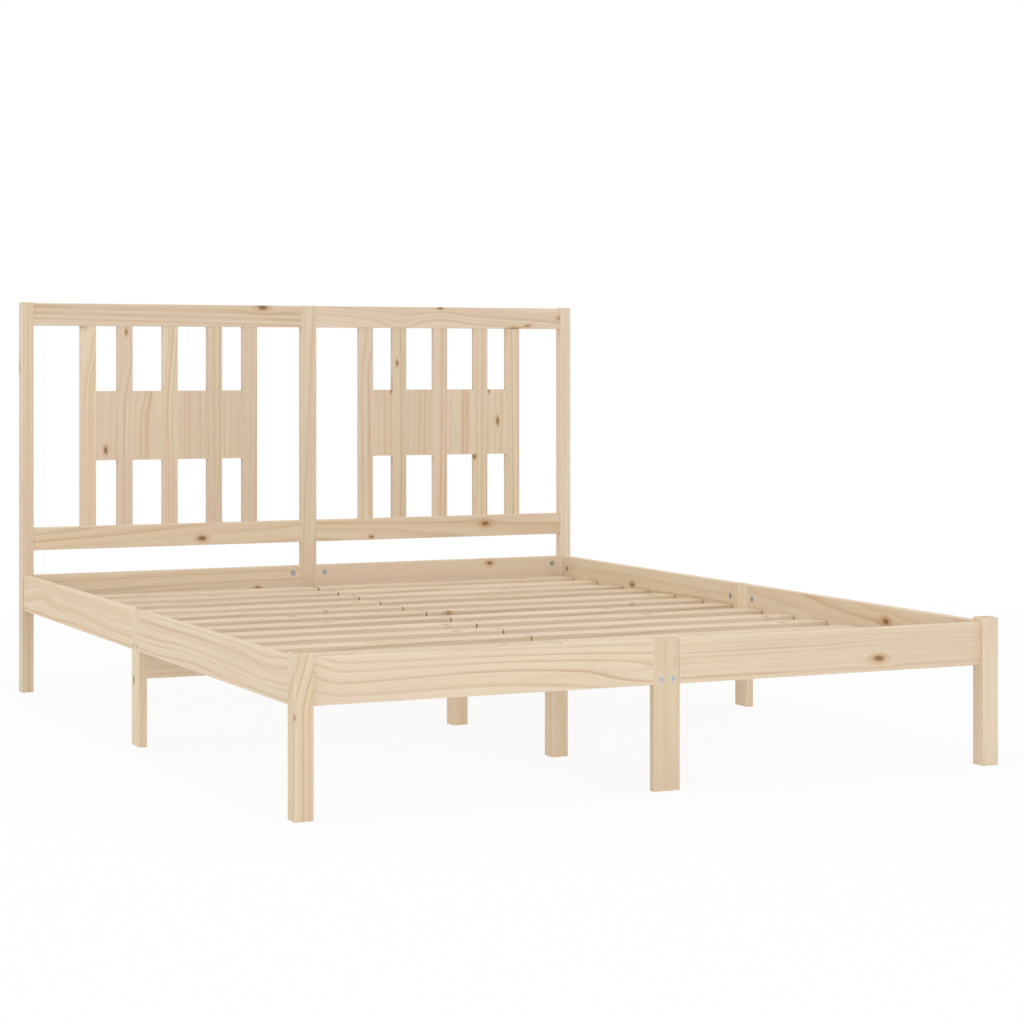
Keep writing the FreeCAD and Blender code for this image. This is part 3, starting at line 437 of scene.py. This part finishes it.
# Headboard slats and the short boards between them: the tone of each, and what else is its own
HEAD_BOARDS = {
    "head_slat_left_1": (1.020, dict(knots=((0.9385, -0.6200, 0.0070, 0.0095, 0.30),),
                                     bands=((-0.6145, 0.6), (-0.6030, 0.7), (-0.5950, 0.8, 0.8)),
                                     swells=((0.95, -0.60, -0.026, 0.20, 1.0),))),
    "head_slat_left_2": (0.965, dict(knots=((0.9246, -0.5059, 0.0065, 0.0030, 0.85),), pink=0.8,
                                     bands=((-0.5090, 0.70, 1.4),), warm=-0.02,
                                     swells=((0.86, -0.50, -0.018, 0.13, 1.0),))),
    "head_slat_left_3": (0.990, dict(bands=((-0.4030, 0.5), (-0.3920, 0.8), (-0.3800, 0.5)),
                                     swells=((0.96, -0.39, -0.018, 0.26, 1.0),))),
    "head_slat_left_4": (0.930, dict(pink=0.9, warm=-0.02, lines=0.7)),
    "head_slat_left_5": (0.930, dict(warm=-0.02, lines=0.8)),
    "head_filler_left_1": (0.970, dict(knots=((0.6179, -0.5606, 0.0090, 0.0042, 0.90),), lines=0.6,
                                       warm=-0.01)),
    "head_filler_left_2": (0.970, dict(bands=((-0.4650, 0.8), (-0.4560, 0.6, 0.8), (-0.4470, 1.0, 2.0)),
                                       swells=((0.79, -0.455, -0.014, 0.09, 0.06),), honey=0.4)),
    "head_filler_left_3": (0.955, dict(bands=((-0.3340, 0.5, 1.5),), lines=0.7)),
    "head_filler_left_4": (0.945, dict(pink=0.5, lines=0.9)),
    "head_slat_right_1": (0.995, dict(warm=-0.03, bands=((0.1560, 0.60, 1.6), (0.1760, 0.8, 1.6)),
                                      swells=((0.95, 0.166, -0.020, 0.15, 1.0),))),
    "head_slat_right_2": (0.935, dict(knots=((0.8440, 0.2565, 0.0070, 0.0030, 0.80),),
                                      bands=((0.2700, 0.7, 1.4), (0.2790, 0.5)))),
    "head_slat_right_3": (1.005, dict(pink=0.5, bands=((0.3900, 1.0, 1.4), (0.4025, 0.9, 1.2)),
                                      warm=-0.02)),
    "head_slat_right_4": (0.980, dict(knots=((0.5846, 0.4897, 0.0060, 0.0035, 0.75),), lines=0.9)),
    "head_slat_right_5": (1.000, dict(bands=((0.5945, 0.6), (0.6060, 0.7, 1.2)), warm=-0.01)),
    "head_filler_right_1": (0.955, dict(knots=((0.7664, 0.2393, 0.0035, 0.0025, 0.80),), lines=0.5)),
    "head_filler_right_2": (0.955, dict(pink=0.3, lines=0.7, honey=0.6)),
    "head_filler_right_3": (1.010, dict(bands=((0.4560, 1.0, 1.4), (0.4650, 1.0, 1.2), (0.4710, 0.8)),
                                       honey=0.6, warm=-0.02)),
    "head_filler_right_4": (0.975, dict(knots=((0.6824, 0.5590, 0.0100, 0.0042, 0.85),
                                               (0.7650, 0.5327, 0.0035, 0.0025, 0.80)), pink=0.7)),
}
# A board with bold lines is cut far from its log's heart, so that they run straight, and its
# other rings are faint
FAR_HEART = (-0.30, 0.0)
FAINT_LINES = 0.4
draw = np.random.default_rng(7)
for turn, (name, (tone, own)) in enumerate(HEAD_BOARDS.items()):
    side = draw.choice((-1.0, 1.0))
    sawn = dict(lines=draw.uniform(0.45, 0.8), pink=draw.uniform(0.2, 0.6))
    sawn["honey"] = draw.uniform(0.3, 0.7)
    sawn["heart"] = (side * draw.uniform(0.03, 0.11), draw.uniform(0.020, 0.055))
    if "bands" in own:
        sawn.update(heart=FAR_HEART, lines=FAINT_LINES)
    sawn.update(ring=draw.uniform(0.0055, 0.0085), lean=(draw.uniform(-0.015, 0.015), 0.01))
    sawn.update(wander=draw.uniform(0.0015, 0.0035), seed=30 + turn, tone=tone)
    pine(name, Z, Y, **{**sawn, **own})

# Boards under the bed and behind the rails: the grain's axis, the face's axis and the tone
UNDER_BED = (
    ("head_end_rail_left", X, Y, 1.00), ("head_end_rail_right", X, Y, 1.02),
    ("cross_beam", X, Y, 1.03),
    ("ledger_left_foot", Y, X, 1.00), ("ledger_left_head", Y, X, 1.03),
    ("ledger_right_foot", Y, X, 1.02), ("ledger_right_head", Y, X, 1.00),
    ("centre_batten_foot", Y, Z, 1.02), ("centre_batten_head", Y, Z, 1.00),
    # The raised tone of the middle centre leg is painted light: it lightens a leg that stands in the
    # shade under the bed
    ("centre_leg_foot", Z, Y, 1.05), ("centre_leg_middle", Z, Y, 1.17), ("centre_leg_head", Z, Y, 1.12),
)
# The one knot of each long board among them: half length, half width and darkness
LONG_BOARD_KNOT = (0.0085, 0.0055, 0.8)
spots = np.random.default_rng(14)
for turn, (name, grain, face, tone) in enumerate(UNDER_BED):
    side = draw.choice((-1.0, 1.0))
    low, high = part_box(name)
    spot = [spots.uniform(low[axis], high[axis]) for axis in (grain, 3 - grain - face)]
    knots = () if grain == Z else ((*spot, *LONG_BOARD_KNOT),)
    heart = (side * draw.uniform(0.02, 0.09), draw.uniform(0.04, 0.08))
    ring = draw.uniform(0.008, 0.012)
    lean = (draw.uniform(-0.02, 0.02), draw.uniform(-0.03, 0.03))
    pine(name, grain, face, heart, ring, lean, seed=60 + turn, tone=tone, warm=-0.03,
         pink=draw.uniform(0.5, 0.9), knots=knots)

# Bed slats: each side is one node, a row from the foot to the head
SLATS_A_SIDE = 14
FIRST_SLAT = -0.954
LAST_SLAT = 0.9605
HALF_SLAT = 0.030
SLAT_STEP = (LAST_SLAT - FIRST_SLAT) / (SLATS_A_SIDE - 1)
for turn, (name, middle) in enumerate((("bed_slats_left", -0.38), ("bed_slats_right", 0.38))):
    big_knot = (middle, FIRST_SLAT, 0.0080, 0.0050, 0.85)
    small_knot = (middle + 0.5, FIRST_SLAT, 0.0045, 0.0030, 0.8)
    pine(name, X, Z, (0.01, -0.055), 0.0085, (0.0, 0.03), 0.0050, seed=80 + turn, tone=0.99,
         pink=0.6, honey=0.6, lines=0.8, knots=(big_knot, small_knot),
         row=(Y, FIRST_SLAT, SLAT_STEP, HALF_SLAT))

beech("dowels")
for name in ("side_leg_bolts", "end_leg_bolts", "barrel_nuts"):
    plated(name, BRIGHT_ZINC, roughness=0.32, grit=2600.0)
for name in ("cam_bolts", "ledger_screws", "slat_screws", "support_screws"):
    plated(name, BRIGHT_ZINC, roughness=0.28, grit=3200.0)
plated("cam_locks", CAST_ZINC, roughness=0.38, grit=1500.0)


# The floor's radius in metres, its rings and spokes, and the power that crowds the rings inwards
FLOOR_RADIUS = 14.0
FLOOR_RINGS = 24
FLOOR_SPOKES = 96
FLOOR_CROWDING = 1.6
# Nearer than the first distance this share of what is seen is plain white, and all of it past
# the second
SHADOW_REACH = (1.5, 4.0)
WHITE_NEAR_BED = 0.88


def floor():
    """Pale floor: a round sheet whose point at radius r and angle t is (r cos t, r sin t).

    Far out it is plain white where it is looked at. Near the bed a small share of what is seen
    is lit by the lamps, so the bed's shadow shows there.
    """
    radii = FLOOR_RADIUS * np.linspace(0.0, 1.0, FLOOR_RINGS + 1)[1:] ** FLOOR_CROWDING
    turns = np.linspace(0.0, 2 * math.pi, FLOOR_SPOKES, endpoint=False)
    r, t = np.meshgrid(radii, turns, indexing="ij")
    points = np.column_stack(((r * np.cos(t)).ravel(), (r * np.sin(t)).ravel(), np.zeros(r.size)))
    points = np.vstack((points, (0.0, 0.0, 0.0)))
    spokes = np.arange(FLOOR_SPOKES)
    next_spokes = (spokes + 1) % FLOOR_SPOKES
    starts = FLOOR_SPOKES * np.arange(FLOOR_RINGS - 1)[:, None]
    this, after = starts + spokes, starts + next_spokes
    corners = (this, this + FLOOR_SPOKES, after + FLOOR_SPOKES, after)
    quads = np.stack(corners, axis=-1).reshape(-1, 4)
    hub = np.column_stack((spokes, next_spokes, np.full(FLOOR_SPOKES, len(points) - 1)))
    mesh = bpy.data.meshes.new("studio_floor")
    mesh.from_pydata(points.tolist(), [], quads.tolist() + hub.tolist())
    sheet = bpy.data.objects.new("studio_floor", mesh)
    bpy.context.scene.collection.objects.link(sheet)
    f = Finish(bpy.data.materials.new("pale_floor"))
    away = f.vector("LENGTH", f.put("ShaderNodeTexCoord", {}).outputs["Object"])
    plain = f.number("MULTIPLY", f.looked_at(), f.ease(away, *SHADOW_REACH, WHITE_NEAR_BED, 1.0))
    matt = f.put("ShaderNodeBsdfDiffuse", {"Color": FLOOR_GREY})
    white = f.put("ShaderNodeEmission", {"Color": WHITE, "Strength": 1.0})
    both = f.put("ShaderNodeMixShader", {0: plain, 1: matt.outputs[0], 2: white.outputs[0]})
    f.put("ShaderNodeOutputMaterial", {"Surface": both.outputs[0]})
    mesh.materials.append(f.owner)


def daylight(strength):
    """A plain white room: soft light all round, and a white background where it is looked at."""
    world = bpy.data.worlds.new("white_room")
    bpy.context.scene.world = world
    f = Finish(world)
    soft = f.put("ShaderNodeBackground", {"Color": WHITE, "Strength": strength})
    white = f.put("ShaderNodeBackground", {"Color": WHITE, "Strength": 1.0})
    both = f.put("ShaderNodeMixShader", {0: f.looked_at(), 1: soft.outputs[0], 2: white.outputs[0]})
    f.put("ShaderNodeOutputWorld", {0: both.outputs[0]})


def softbox(name, place, aim, width, height, watts):
    """A broad lamp that shines from its place at the aim, and isn't seen itself."""
    lamp = bpy.data.lights.new(name, "AREA")
    lamp.shape = "RECTANGLE"
    lamp.size = width
    lamp.size_y = height
    lamp.energy = watts
    holder = bpy.data.objects.new(name, lamp)
    bpy.context.scene.collection.objects.link(holder)
    holder.location = place
    down = Vector(place) - Vector(aim)
    holder.rotation_euler = down.to_track_quat("Z", "Y").to_euler()
    holder.visible_camera = False


floor()
daylight(0.77)
softbox("window_at_the_left", place=(-5.6, 0.6, 1.2), aim=(0.0, 0.2, 0.5),
        width=5.0, height=2.2, watts=33.0)
softbox("low_at_the_foot", place=(-1.2, -5.6, 0.55), aim=(0.0, -0.5, 0.35),
        width=5.0, height=0.9, watts=47.0)
softbox("ceiling", place=(-0.4, -0.6, 4.6), aim=(0.0, -0.2, 0.4), width=3.6, height=3.6, watts=53.0)

# The camera stands left of the foot, level, 0.84 m up, and is turned 25.4 degrees to the right
PHOTO_PIXELS = 1024
SIGHT_PIXELS = 2528.535
MIDDLE_PIXEL = (531.337, 363.947)
SENSOR_WIDTH = 36.0
CAMERA_PLACE = (-2.375952, -5.404577, 0.841471)
CAMERA_TURN = -0.442712
view = bpy.data.cameras.new("photo_view")
view.sensor_width = SENSOR_WIDTH
view.lens = SENSOR_WIDTH * SIGHT_PIXELS / PHOTO_PIXELS
view.shift_x = (PHOTO_PIXELS / 2 - MIDDLE_PIXEL[0]) / PHOTO_PIXELS
view.shift_y = (MIDDLE_PIXEL[1] - PHOTO_PIXELS / 2) / PHOTO_PIXELS
view.clip_start = 0.05
view.clip_end = 60.0
camera = bpy.data.objects.new("photo_view", view)
bpy.context.scene.collection.objects.link(camera)
camera.location = CAMERA_PLACE
camera.rotation_euler = (math.radians(90.0), 0.0, CAMERA_TURN)
bpy.context.scene.camera = camera
bpy.context.scene.view_settings.view_transform = "Standard"
